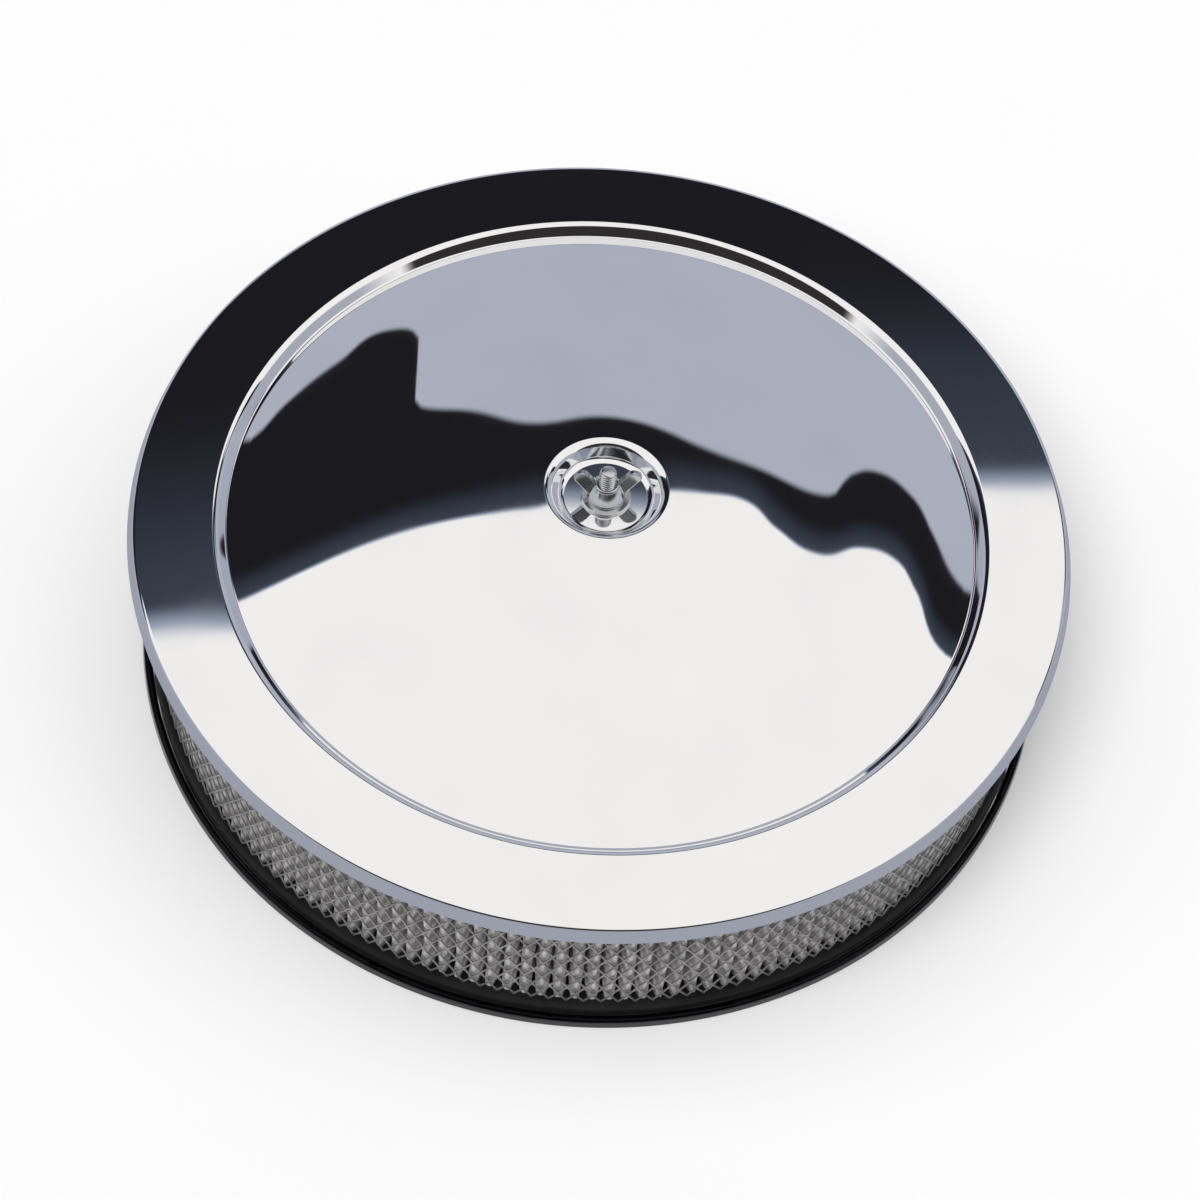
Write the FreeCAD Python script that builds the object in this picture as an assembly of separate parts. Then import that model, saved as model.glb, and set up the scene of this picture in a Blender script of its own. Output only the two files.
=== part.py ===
import FreeCAD, Part
import math
import os

# A round carburetor air cleaner: a pressed chrome lid held by one wing nut,
# a pleated paper element between two wire screens, and a recessed base pan.
# Millimetres, +Z up, origin at the centre of the ring that the pan stands on.

# Sheet of the lid and of the base pan
sheet = 0.9

# Filter element, which sets the space between the lid and the pan
element_height = 72.7
element_width = 24.6
seal_height = 7.0
seal_corner = 1.6
screen_thickness = 0.8
screen_inset = 2.3
pleat_count = 170
pleat_wall = 3.4
pleat_clearance = 0.4

# Openings of the two screens, as a few large diamonds
diamonds_around = 60
diamond_rows = 2
diamond_strand = 2.4
diamond_border = 2.0

# Pressed lid, whose dome is one long bend between two runs that would meet at its corner
lid_diameter = 355.6
skirt_depth = 5.8
skirt_flare = 2.2
skirt_clearance = 2.9
lid_locating_clearance = 1.5
step_width = 3.5
step_depth = 4.0
step_bend_radius = 2.4
step_foot_radius = 1.0
dome_corner_radius = 84.0
dome_corner_rise = 15.6
dome_bend_share = 0.93
well_rim_radius = 21.3
well_rim_rise = 18.3
well_floor_radius = 17.3
well_floor_rise = 12.2
well_bend_radius = 3.0
stud_hole_clearance = 0.8
bend_radius = 0.8
soft_bend_radius = 1.6

# Recessed base pan
seat_clearance = 0.9
ledge_width = 2.6
rim_height = 4.0
rim_flare = 0.6
rim_lift = 0.4
recess_height = 22.0
recess_slope_width = 8.4
neck_radius = 65.5
neck_height = 9.0

# Rubber ring under the neck
gasket_width = 7.5
gasket_thickness = 3.2

# Centre stud, 1/4-20 at both ends on a thinner shank
stud_radius = 3.175
shank_radius = 2.75
stud_foot = 2.5
stud_lower_thread = 14.0
stud_upper_thread = 40.0
stud_above_washer = 14.8
stud_chamfer = 0.8

# Wing nut with the washer that is swaged on its spigot
thread_clearance = 0.05
washer_radius = 9.3
washer_thickness = 1.2
spigot_wall = 0.7
spigot_clearance = 0.1
boss_foot_radius = 6.9
boss_top_radius = 4.9
boss_height = 7.6
wing_span = 25.2
wing_height = 14.4
wing_thickness = 2.4
wing_root_height = 1.4
wing_tip_radius = 2.9
wing_edge_radius = 0.7
wing_turn = 8.0

# Radii and heights that follow from the sizes above
lid_radius = lid_diameter / 2
lid_crease_radius = lid_radius - skirt_flare
seal_outer_radius = lid_crease_radius - sheet - skirt_clearance
seal_inner_radius = seal_outer_radius - element_width
outer_screen_radius = seal_outer_radius - screen_inset
inner_screen_radius = seal_inner_radius + screen_inset
step_outer_radius = seal_inner_radius - lid_locating_clearance - sheet
step_inner_radius = step_outer_radius - step_width
seat_outer_radius = seal_outer_radius + seat_clearance
seat_inner_radius = seal_inner_radius - seat_clearance
element_foot = sheet
element_top = element_foot + element_height
lid_plane = element_top + sheet
screen_foot = element_foot + seal_height
screen_height = element_height - 2 * seal_height
washer_seat = lid_plane + well_floor_rise
nut_seat = washer_seat + washer_thickness
stud_top = nut_seat + stud_above_washer
nut_bore_radius = stud_radius + thread_clearance
spigot_radius = nut_bore_radius + spigot_wall


def unit(vector):
    """The vector at length one."""
    return vector / vector.Length


def side_of(direction):
    """The direction turned a quarter turn to its left in the r-z plane."""
    return FreeCAD.Vector(-direction.z, 0, direction.x)


def shifted_corners(corners, distance):
    """The corners of the path that runs beside a given path, on its left."""
    lines = []
    for start, end in zip(corners, corners[1:]):
        along = unit(end - start)
        lines.append((start + side_of(along) * distance, along))
    shifted = [lines[0][0]]
    for (place_a, along_a), (place_b, along_b) in zip(lines, lines[1:]):
        across = side_of(along_b)
        step = (place_b - place_a).dot(across) / along_a.dot(across)
        shifted.append(place_a + along_a * step)
    shifted.append(corners[-1] + side_of(lines[-1][1]) * distance)
    return shifted


def turn_at(before, corner, after):
    """How far the path turns at a corner, positive to its left, in radians."""
    arriving = unit(corner - before)
    leaving = unit(after - corner)
    return math.atan2(side_of(arriving).dot(leaving), arriving.dot(leaving))


def widest_bend(outline, share):
    """The radius of a bend that takes up a share of the shorter of the two runs it joins."""
    before, corner, after = [FreeCAD.Vector(radius, 0, height) for radius, height in outline]
    shorter_run = min((corner - before).Length, (after - corner).Length)
    return share * shorter_run / math.tan(abs(turn_at(before, corner, after)) / 2)


def rounded_path(corners, radii):
    """Edges along the corners, with a tangent arc of its own radius at each inner one."""
    edges = []
    here = corners[0]
    for before, corner, after, radius in zip(corners, corners[1:], corners[2:], radii):
        turn = turn_at(before, corner, after)
        cut = abs(radius * math.tan(turn / 2))
        enter = corner + unit(before - corner) * cut
        leave = corner + unit(after - corner) * cut
        inward = unit(unit(before - corner) + unit(after - corner))
        middle = corner + inward * (radius / math.cos(turn / 2) - radius)
        edges.append(Part.makeLine(here, enter))
        edges.append(Part.Arc(enter, middle, leave).toShape())
        here = leave
    edges.append(Part.makeLine(here, corners[-1]))
    return edges


def pressed_sheet(outline, bends, thickness):
    """A pressing turned about Z: the upper face's outline, with the sheet on its left."""
    upper = [FreeCAD.Vector(radius, 0, height) for radius, height in outline]
    lower = shifted_corners(upper, thickness)
    upper_radii = []
    lower_radii = []
    for before, corner, after, bend in zip(upper, upper[1:], upper[2:], bends):
        if turn_at(before, corner, after) > 0:
            upper_radii.append(bend + thickness)
            lower_radii.append(bend)
        else:
            upper_radii.append(bend)
            lower_radii.append(bend + thickness)
    edges = rounded_path(upper, upper_radii)
    edges.append(Part.makeLine(upper[-1], lower[-1]))
    edges += reversed(rounded_path(lower, lower_radii))
    edges.append(Part.makeLine(lower[0], upper[0]))
    return turned(Part.Face(Part.Wire(edges)))


def turned(face):
    """The face turned once round Z."""
    return face.revolve(FreeCAD.Vector(0, 0, 0), FreeCAD.Vector(0, 0, 1), 360)


def tube(outer, inner, foot, height):
    """A plain ring about Z."""
    base = FreeCAD.Vector(0, 0, foot)
    return Part.makeCylinder(outer, height, base).cut(Part.makeCylinder(inner, height, base))


def soft_ring(outer, inner, foot, height, corner):
    """A moulded ring about Z with rounded corners."""
    ring = tube(outer, inner, foot, height)
    rims = [edge for edge in ring.Edges if isinstance(edge.Curve, Part.Circle)]
    return ring.makeFillet(corner, rims)


def make_lid():
    """The pressed lid, from the lower edge of its skirt to the hole for the stud."""
    outline = [
        (lid_radius, lid_plane - skirt_depth),
        (lid_crease_radius, lid_plane),
        (step_outer_radius, lid_plane),
        (step_inner_radius, lid_plane - step_depth),
        (dome_corner_radius, lid_plane + dome_corner_rise),
        (well_rim_radius, lid_plane + well_rim_rise),
        (well_floor_radius, lid_plane + well_floor_rise),
        (stud_radius + stud_hole_clearance, lid_plane + well_floor_rise),
    ]
    dome_bend = widest_bend(outline[3:6], dome_bend_share)
    step_bends = [step_bend_radius, step_foot_radius]
    bends = [bend_radius, *step_bends, dome_bend, well_bend_radius, well_bend_radius]
    return pressed_sheet(outline, bends, sheet)


def make_base_pan():
    """The recessed pan, from its turned-down rim to the collar of its neck."""
    ledge_outer_radius = seat_outer_radius + ledge_width
    collar_radius = neck_radius + sheet
    outline = [
        (ledge_outer_radius + rim_flare, rim_lift),
        (ledge_outer_radius, rim_height),
        (seat_outer_radius + rim_flare, rim_height),
        (seat_outer_radius, sheet),
        (seat_inner_radius, sheet),
        (seat_inner_radius - recess_slope_width, recess_height),
        (collar_radius, recess_height),
        (collar_radius, recess_height + neck_height),
    ]
    bends = [
        bend_radius,
        bend_radius / 2,
        bend_radius / 2,
        bend_radius,
        soft_bend_radius,
        soft_bend_radius,
    ]
    return pressed_sheet(outline, bends, sheet)


def make_neck_gasket():
    """The rubber ring that lies under the neck, on the carburetor's shoulder."""
    top = recess_height - sheet
    return tube(neck_radius + gasket_width, neck_radius, top - gasket_thickness, gasket_thickness)


def make_seal(foot):
    """One of the two moulded end rings of the element."""
    return soft_ring(seal_outer_radius, seal_inner_radius, foot, seal_height, seal_corner)


def diamond_cutter(radius, half_width, half_height, angle, height):
    """A diamond prism that goes through the screen's wall at one place."""
    reach = 4 * screen_thickness
    corners = [
        FreeCAD.Vector(radius - reach, half_width, height),
        FreeCAD.Vector(radius - reach, 0, height + half_height),
        FreeCAD.Vector(radius - reach, -half_width, height),
        FreeCAD.Vector(radius - reach, 0, height - half_height),
    ]
    prism = Part.Face(Part.makePolygon(corners + corners[:1])).extrude(FreeCAD.Vector(2 * reach, 0, 0))
    prism.rotate(FreeCAD.Vector(0, 0, 0), FreeCAD.Vector(0, 0, 1), angle)
    return prism


def make_screen(outer, inner):
    """A cylinder of expanded metal: rows of diamonds, each row half a pitch on."""
    middle = (outer + inner) / 2
    pitch = 2 * math.pi * middle / diamonds_around
    row_step = (screen_height - 2 * diamond_border) / (diamond_rows + 1)
    slant = math.atan2(row_step, pitch / 2)
    half_width = pitch / 2 - diamond_strand / 2 / math.sin(slant)
    half_height = row_step - diamond_strand / 2 / math.cos(slant)
    cutters = []
    for row in range(diamond_rows):
        height = screen_foot + diamond_border + (row + 1) * row_step
        for place in range(diamonds_around):
            angle = 360 * (place + row % 2 / 2) / diamonds_around
            cutters.append(diamond_cutter(middle, half_width, half_height, angle, height))
    wall = tube(outer, inner, screen_foot, screen_height)
    return wall.cut(Part.makeCompound(cutters))


def make_outer_screen():
    """The screen that shows under the lid."""
    return make_screen(outer_screen_radius, outer_screen_radius - screen_thickness)


def make_inner_screen():
    """The screen round the air chamber."""
    return make_screen(inner_screen_radius + screen_thickness, inner_screen_radius)


def zigzag(tip_radius, valley_radius):
    """The closed star of the pleats, seen from above."""
    corners = []
    for pleat in range(pleat_count):
        for radius, offset in ((tip_radius, 0), (valley_radius, 0.5)):
            angle = 2 * math.pi * (pleat + offset) / pleat_count
            corners.append(FreeCAD.Vector(radius * math.cos(angle), radius * math.sin(angle), screen_foot))
    return Part.makePolygon(corners + corners[:1])


def make_pleated_paper():
    """The folded paper: the space between two stars that lie inside each other."""
    tip = outer_screen_radius - screen_thickness - pleat_clearance
    valley = inner_screen_radius + screen_thickness + pleat_clearance
    outer = zigzag(tip, valley + pleat_wall)
    inner = zigzag(tip - pleat_wall, valley)
    inner.reverse()
    return Part.Face([outer, inner]).extrude(FreeCAD.Vector(0, 0, screen_height))


def make_centre_stud():
    """The stud from the carburetor up through the lid, with a chamfer at each end."""
    upper_thread_foot = stud_top - stud_upper_thread
    lower_thread_top = stud_foot + stud_lower_thread
    outline = [
        (0, stud_foot),
        (stud_radius - stud_chamfer, stud_foot),
        (stud_radius, stud_foot + stud_chamfer),
        (stud_radius, lower_thread_top),
        (shank_radius, lower_thread_top + stud_chamfer),
        (shank_radius, upper_thread_foot - stud_chamfer),
        (stud_radius, upper_thread_foot),
        (stud_radius, stud_top - stud_chamfer),
        (stud_radius - stud_chamfer, stud_top),
        (0, stud_top),
    ]
    corners = [FreeCAD.Vector(radius, 0, height) for radius, height in outline]
    return turned(Part.Face(Part.makePolygon(corners + corners[:1])))


def make_nut_washer():
    """The flat washer that turns freely on the nut's spigot."""
    return tube(washer_radius, spigot_radius + spigot_clearance, washer_seat, washer_thickness)


def tangent_point(start, centre, radius, side):
    """Where the line from a start point touches a circle, on its left or right side."""
    towards = centre - start
    lean = math.asin(radius / towards.Length) * side
    reach = math.sqrt(towards.Length ** 2 - radius ** 2)
    heading = math.atan2(towards.z, towards.x) + lean
    return start + FreeCAD.Vector(math.cos(heading), 0, math.sin(heading)) * reach


def make_wing(direction):
    """One wing, a plate that rises outwards from the boss to a round tip."""
    half = wing_thickness / 2
    tip = FreeCAD.Vector(wing_span / 2 - wing_tip_radius, -half, nut_seat + wing_height - wing_tip_radius)
    foot = FreeCAD.Vector(boss_foot_radius - wing_edge_radius, -half, nut_seat + wing_root_height)
    shoulder = FreeCAD.Vector(boss_top_radius - wing_edge_radius, -half, nut_seat + boss_height)
    core_foot = FreeCAD.Vector(0, -half, foot.z)
    core_top = FreeCAD.Vector(0, -half, shoulder.z)
    outer_touch = tangent_point(foot, tip, wing_tip_radius, -1)
    inner_touch = tangent_point(shoulder, tip, wing_tip_radius, 1)
    crown = tip + unit(tip - foot) * wing_tip_radius
    edges = [
        Part.makeLine(core_foot, foot),
        Part.makeLine(foot, outer_touch),
        Part.Arc(outer_touch, crown, inner_touch).toShape(),
        Part.makeLine(inner_touch, shoulder),
        Part.makeLine(shoulder, core_top),
        Part.makeLine(core_top, core_foot),
    ]
    plate = Part.Face(Part.Wire(edges)).extrude(FreeCAD.Vector(0, wing_thickness, 0))
    rims = [edge for edge in plate.Edges if edge.BoundBox.YLength < half and edge.BoundBox.XMax > foot.x]
    plate = plate.makeFillet(wing_edge_radius, rims)
    if direction < 0:
        plate.rotate(FreeCAD.Vector(0, 0, 0), FreeCAD.Vector(0, 0, 1), 180)
    return plate


def make_wing_nut():
    """The wing nut: a tapered boss, two wings, and the spigot that holds the washer."""
    up = FreeCAD.Vector(0, 0, 1)
    foot = FreeCAD.Vector(0, 0, nut_seat)
    boss = Part.makeCone(boss_foot_radius, boss_top_radius, boss_height, foot)
    spigot = Part.makeCylinder(spigot_radius, washer_thickness, FreeCAD.Vector(0, 0, washer_seat))
    nut = boss.fuse([spigot, make_wing(1), make_wing(-1)])
    bore_height = wing_height + washer_thickness
    nut = nut.cut(Part.makeCylinder(nut_bore_radius, bore_height, FreeCAD.Vector(0, 0, washer_seat)))
    nut = nut.removeSplitter()
    nut.rotate(FreeCAD.Vector(0, 0, 0), up, wing_turn)
    return nut


def write(node, shape):
    """One file for each piece."""
    shape.exportStep("parts/" + node + ".step")
    print(node, len(shape.Solids), round(shape.Volume, 1), shape.isValid())


os.makedirs("parts", exist_ok=True)
write("lid", make_lid())
write("wing_nut", make_wing_nut())
write("nut_washer", make_nut_washer())
write("centre_stud", make_centre_stud())
write("top_seal", make_seal(element_top - seal_height))
write("bottom_seal", make_seal(element_foot))
write("outer_screen", make_outer_screen())
write("inner_screen", make_inner_screen())
write("pleated_paper", make_pleated_paper())
write("base_pan", make_base_pan())
write("neck_gasket", make_neck_gasket())
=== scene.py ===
"""The dressed model of a round carburetor air cleaner, in metres, +Z up."""
import math

import bmesh
import bpy
from mathutils import Matrix, Vector


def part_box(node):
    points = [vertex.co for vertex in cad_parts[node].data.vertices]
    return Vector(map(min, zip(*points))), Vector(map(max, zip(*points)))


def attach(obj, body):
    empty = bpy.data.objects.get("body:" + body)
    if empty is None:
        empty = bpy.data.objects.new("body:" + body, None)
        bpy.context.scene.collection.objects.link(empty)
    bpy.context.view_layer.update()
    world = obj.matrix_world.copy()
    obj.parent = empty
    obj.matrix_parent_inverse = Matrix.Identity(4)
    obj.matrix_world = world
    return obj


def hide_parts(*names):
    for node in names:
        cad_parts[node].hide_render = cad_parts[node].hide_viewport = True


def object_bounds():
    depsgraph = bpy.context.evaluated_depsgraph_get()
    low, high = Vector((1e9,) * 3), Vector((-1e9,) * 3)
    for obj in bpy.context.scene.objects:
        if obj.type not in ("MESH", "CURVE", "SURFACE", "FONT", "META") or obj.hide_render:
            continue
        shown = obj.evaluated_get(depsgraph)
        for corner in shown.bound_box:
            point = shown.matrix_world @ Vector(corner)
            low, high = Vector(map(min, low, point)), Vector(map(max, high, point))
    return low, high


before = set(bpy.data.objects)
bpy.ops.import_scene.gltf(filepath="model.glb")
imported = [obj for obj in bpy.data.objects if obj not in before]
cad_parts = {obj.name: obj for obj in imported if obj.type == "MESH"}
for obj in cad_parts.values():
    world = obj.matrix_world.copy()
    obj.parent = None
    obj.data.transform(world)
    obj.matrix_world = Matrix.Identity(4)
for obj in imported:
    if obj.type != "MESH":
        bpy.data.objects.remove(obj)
cad_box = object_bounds()
mm = 0.001

# Base pan: a dish pressed from one steel sheet and chrome plated. Its rim is turned
# down, the element stands in its outer channel, and its middle is raised so that the
# cleaner sits low over the carburetor. The collar of its neck guides the air down.

sheet = 0.9 * mm
tight_bend = 0.8 * mm
soft_bend = 1.6 * mm
element_width = 24.6 * mm
neck_radius = 65.5 * mm
seat_clearance = 0.9 * mm
recess_slope_width = 8.4 * mm
flat_margin = 0.05 * mm
weld_distance = 1e-7
turns_round = 288


def side_of(direction):
    """The direction turned a quarter turn to its left."""
    return Vector((-direction.y, direction.x))


def beside(corners, distance):
    """The corners of the path that runs beside a given path, on its left."""
    runs = []
    for start, end in zip(corners, corners[1:]):
        along = (end - start).normalized()
        runs.append((start + side_of(along) * distance, along))
    result = [runs[0][0]]
    for (place_a, along_a), (place_b, along_b) in zip(runs, runs[1:]):
        across = side_of(along_b)
        step = (place_b - place_a).dot(across) / along_a.dot(across)
        result.append(place_a + along_a * step)
    result.append(corners[-1] + side_of(runs[-1][1]) * distance)
    return result


def turn_at(before, corner, after):
    """How far a path turns at a corner, positive to its left."""
    arriving = (corner - before).normalized()
    leaving = (after - corner).normalized()
    return math.atan2(side_of(arriving).dot(leaving), arriving.dot(leaving))


def bend_points(before, corner, after, radius, steps):
    """Points on the tangent arc that rounds one corner."""
    turn = turn_at(before, corner, after)
    cut = abs(radius * math.tan(turn / 2))
    enter = corner + (before - corner).normalized() * cut
    arriving = (corner - before).normalized()
    centre = enter + side_of(arriving) * math.copysign(radius, turn)
    spoke = enter - centre
    points = []
    for step in range(steps + 1):
        angle = turn * step / steps
        points.append(centre + Matrix.Rotation(angle, 2) @ spoke)
    return points


def moved(start, end, distance):
    """The point at a distance from the start of a run, on the way to its end."""
    return start + (end - start).normalized() * distance


def pressed_outline(upper, bends, thickness):
    """The closed section of a pressing: its upper face, then its lower face back again.

    Each bend is the radius inside the bend and the number of steps in its arc. A point
    close to both ends of each straight run keeps the run flat where the shading is smooth.
    """
    upper = [Vector(corner) for corner in upper]
    lower = beside(upper, thickness)
    faces = []
    for corners, is_lower in ((upper, False), (lower, True)):
        points = [corners[0], moved(corners[0], corners[1], flat_margin)]
        for index, (radius, steps) in enumerate(bends):
            before, corner, after = corners[index:index + 3]
            inside = (turn_at(before, corner, after) > 0) == is_lower
            arc = bend_points(before, corner, after, radius if inside else radius + thickness, steps)
            points += [moved(arc[0], before, flat_margin), *arc, moved(arc[-1], after, flat_margin)]
        points += [moved(corners[-1], corners[-2], flat_margin), corners[-1]]
        faces.append(points)
    return faces[0] + faces[1][::-1]


def around_z(radius, angle, height):
    """The place at a radius, an angle and a height round Z."""
    return (radius * math.cos(angle), radius * math.sin(angle), height)


def band(shape, ring, after):
    """Faces that join two closed rings of points all the way round."""
    for a, b, c, d in zip(ring, ring[1:] + ring[:1], after[1:] + after[:1], after):
        shape.faces.new((a, b, c, d))


def as_piece(name, shape):
    """A piece of the scene made of the points and faces that were set out."""
    mesh = bpy.data.meshes.new(name)
    shape.to_mesh(mesh)
    shape.free()
    piece = bpy.data.objects.new(name, mesh)
    bpy.context.scene.collection.objects.link(piece)
    return piece


def spun(name, outline, turns):
    """A closed solid of revolution: the closed section turned once round Z."""
    shape = bmesh.new()
    rings = []
    for turn in range(turns):
        angle = 2 * math.pi * turn / turns
        rings.append([shape.verts.new(around_z(radius, angle, height)) for radius, height in outline])
    for ring, after in zip(rings, rings[1:] + rings[:1]):
        band(shape, ring, after)
    bmesh.ops.remove_doubles(shape, verts=shape.verts, dist=weld_distance)
    bmesh.ops.recalc_face_normals(shape, faces=shape.faces)
    piece = as_piece(name, shape)
    piece.data.shade_smooth()
    return piece


def new_material(name):
    """An empty material with its Principled shader, and Object coordinates to read from."""
    material = bpy.data.materials.new(name)
    material.use_nodes = True
    tree = material.node_tree
    shader = tree.nodes["Principled BSDF"]
    place = tree.nodes.new("ShaderNodeTexCoord").outputs["Object"]
    return material, tree, shader, place


def noise(tree, place, scale, detail):
    """A noise texture's value at a scale given in lumps per metre."""
    texture = tree.nodes.new("ShaderNodeTexNoise")
    texture.inputs["Scale"].default_value = scale
    texture.inputs["Detail"].default_value = detail
    tree.links.new(place, texture.inputs["Vector"])
    return texture.outputs["Fac"]


def spread(tree, value, low, high):
    """A value's middle part, from 0.3 to 0.7, stretched to run from low to high."""
    node = tree.nodes.new("ShaderNodeMapRange")
    node.inputs["From Min"].default_value = 0.3
    node.inputs["From Max"].default_value = 0.7
    node.inputs["To Min"].default_value = low
    node.inputs["To Max"].default_value = high
    tree.links.new(value, node.inputs["Value"])
    return node.outputs["Result"]


def blended(tree, value, first, second):
    """A colour that goes from the first to the second as the value goes from 0 to 1."""
    node = tree.nodes.new("ShaderNodeMix")
    node.data_type = "RGBA"
    node.inputs[6].default_value = (*first, 1)
    node.inputs[7].default_value = (*second, 1)
    tree.links.new(value, node.inputs[0])
    return node.outputs[2]


def bumped(tree, shader, value, height, strength=1.0):
    """Raises the surface by the value, up to the given height, on top of any bump before it."""
    node = tree.nodes.new("ShaderNodeBump")
    node.inputs["Strength"].default_value = strength
    node.inputs["Distance"].default_value = height
    if shader.inputs["Normal"].is_linked:
        tree.links.new(shader.inputs["Normal"].links[0].from_socket, node.inputs["Normal"])
    tree.links.new(value, node.inputs["Height"])
    tree.links.new(node.outputs["Normal"], shader.inputs["Normal"])


def chrome(name, clear, hazy, roughness, ripple):
    """Chrome plate: a mirror with a faint haze in patches and the long ripple of a pressing."""
    material, tree, shader, place = new_material(name)
    patches = noise(tree, place, 22, 3)
    tree.links.new(blended(tree, spread(tree, patches, 0, 1), clear, hazy), shader.inputs["Base Color"])
    tree.links.new(spread(tree, patches, roughness * 0.6, roughness * 1.5), shader.inputs["Roughness"])
    shader.inputs["Metallic"].default_value = 1.0
    bumped(tree, shader, noise(tree, place, 9, 1), ripple)
    return material


def dress(piece, material, body, slot, *nodes):
    """Gives a piece its material, and its place in the frame."""
    piece.data.materials.clear()
    piece.data.materials.append(material)
    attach(piece, body)
    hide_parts(*nodes)


rim_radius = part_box("base_pan")[1].x
rim_lift = 0.4 * mm
rim_flare = 0.6 * mm
ledge_radius = rim_radius - rim_flare
ledge_height = 4.0 * mm
channel_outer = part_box("bottom_seal")[1].x + seat_clearance
channel_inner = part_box("bottom_seal")[1].x - element_width - seat_clearance
plateau_height = 22.0 * mm
plateau_radius = channel_inner - recess_slope_width
collar_radius = neck_radius + sheet
collar_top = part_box("base_pan")[1].z

pan_outline = pressed_outline(
    [
        (rim_radius, rim_lift),
        (ledge_radius, ledge_height),
        (channel_outer + rim_flare, ledge_height),
        (channel_outer, sheet),
        (channel_inner, sheet),
        (plateau_radius, plateau_height),
        (collar_radius, plateau_height),
        (collar_radius, collar_top),
    ],
    [
        (tight_bend, 6),
        (tight_bend / 2, 4),
        (tight_bend / 2, 4),
        (tight_bend, 5),
        (soft_bend, 6),
        (soft_bend, 6),
    ],
    sheet,
)
base_pan = spun("base_pan_pressing", pan_outline, turns_round)
pan_chrome = chrome("pan_chrome", (0.80, 0.81, 0.83), (0.74, 0.76, 0.79), 0.05, 0.3 * mm)
# How softly the painted shade on the pan fades in.
painted_shade_fade = 0.4 * mm


def paint_shade_beyond(material, radius, colour):
    """Paints shade on the plate beyond a radius: its colour is darkened there to stand in for shade and dark
    reflections.
    """
    tree = material.node_tree
    shader = tree.nodes["Principled BSDF"]
    plain = shader.inputs["Base Color"].links[0].from_socket
    place = tree.nodes.new("ShaderNodeTexCoord").outputs["Object"]
    flat = tree.nodes.new("ShaderNodeVectorMath")
    flat.operation = "MULTIPLY"
    flat.inputs[1].default_value = (1, 1, 0)
    tree.links.new(place, flat.inputs[0])
    reach = tree.nodes.new("ShaderNodeVectorMath")
    reach.operation = "LENGTH"
    tree.links.new(flat.outputs[0], reach.inputs[0])
    edge = tree.nodes.new("ShaderNodeMapRange")
    edge.inputs["From Min"].default_value = radius - painted_shade_fade
    edge.inputs["From Max"].default_value = radius
    tree.links.new(reach.outputs["Value"], edge.inputs["Value"])
    mix = tree.nodes.new("ShaderNodeMix")
    mix.data_type = "RGBA"
    mix.inputs[7].default_value = (*colour, 1)
    tree.links.new(edge.outputs["Result"], mix.inputs[0])
    tree.links.new(plain, mix.inputs[6])
    tree.links.new(mix.outputs[2], shader.inputs["Base Color"])


# Painted shade: the ledge and the channel's outer wall are painted nearly black, for the shade and the black
# seal they mirror. The rim's outer face is painted dark grey, for the shadowed floor at its foot that it
# mirrors.
paint_shade_beyond(pan_chrome, channel_outer, (0.012, 0.012, 0.014))
paint_shade_beyond(pan_chrome, ledge_radius + rim_flare / 2, (0.075, 0.078, 0.08))
dress(base_pan, pan_chrome, "base", "pan_chrome", "base_pan")

# Neck gasket: a ring cut from black rubber sheet. It lies under the neck, on the
# shoulder of the carburetor, and keeps out dust and rattle.


def rubber(name, dark, worn, grain):
    """Matt moulded rubber with a fine grain and a slightly greyed, uneven face."""
    material, tree, shader, place = new_material(name)
    patches = noise(tree, place, 60, 4)
    tree.links.new(blended(tree, spread(tree, patches, 0, 1), dark, worn), shader.inputs["Base Color"])
    tree.links.new(spread(tree, patches, 0.45, 0.7), shader.inputs["Roughness"])
    shader.inputs["Specular IOR Level"].default_value = 0.2
    bumped(tree, shader, noise(tree, place, 1800, 3), grain)
    return material


def softened(corners, radius, steps=4):
    """A closed section with each of its corners rounded, and its runs kept flat."""
    corners = [Vector(corner) for corner in corners]
    points = []
    for before, corner, after in zip(corners[-1:] + corners[:-1], corners, corners[1:] + corners[:1]):
        arc = bend_points(before, corner, after, radius, steps)
        points += [moved(arc[0], before, flat_margin), *arc, moved(arc[-1], after, flat_margin)]
    return points


def ring_section(inner, outer, low, high):
    """The four corners of a plain ring's section."""
    return [(inner, low), (outer, low), (outer, high), (inner, high)]


gasket_low, gasket_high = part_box("neck_gasket")
gasket_corner = 0.5 * mm
gasket_section = ring_section(neck_radius, gasket_high.x, gasket_low.z, gasket_high.z)
neck_gasket = spun("neck_gasket_ring", softened(gasket_section, gasket_corner), turns_round)
gasket_rubber = rubber("gasket_rubber", (0.022, 0.022, 0.023), (0.05, 0.05, 0.05), 0.05 * mm)
dress(neck_gasket, gasket_rubber, "base", "gasket_rubber", "neck_gasket")

# Centre stud: a steel rod with a rolled 1/4-20 thread at both ends. Its foot is screwed
# into the carburetor, and its head stands up through the lid for the wing nut.

stud_low, stud_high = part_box("centre_stud")
thread_pitch = 1.27 * mm
thread_radius = stud_high.x
root_radius = 2.45 * mm
shank_radius = 2.75 * mm
lower_thread = 14 * mm
upper_thread = 40 * mm
point_length = 1.1 * mm
point_share = 0.62
flank_slope = 1.35
root_flat = 0.12


def stud_radius_at(height, angle):
    """The stud's radius at a height and an angle, with its thread's ridge and its rounded ends."""
    to_end = min(height - stud_low.z, stud_high.z - height)
    threaded = height < stud_low.z + lower_thread or height > stud_high.z - upper_thread
    if threaded:
        phase = (height / thread_pitch - angle / (2 * math.pi)) % 1
        ridge = min(1.0, max(0.0, flank_slope * (1 - abs(2 * phase - 1)) - root_flat))
        radius = root_radius + (thread_radius - root_radius) * ridge
    else:
        radius = shank_radius
    if to_end < point_length:
        share = to_end / point_length
        rounding = math.sqrt(share * (2 - share))
        radius = min(radius, thread_radius * (point_share + (1 - point_share) * rounding))
    return radius


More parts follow.
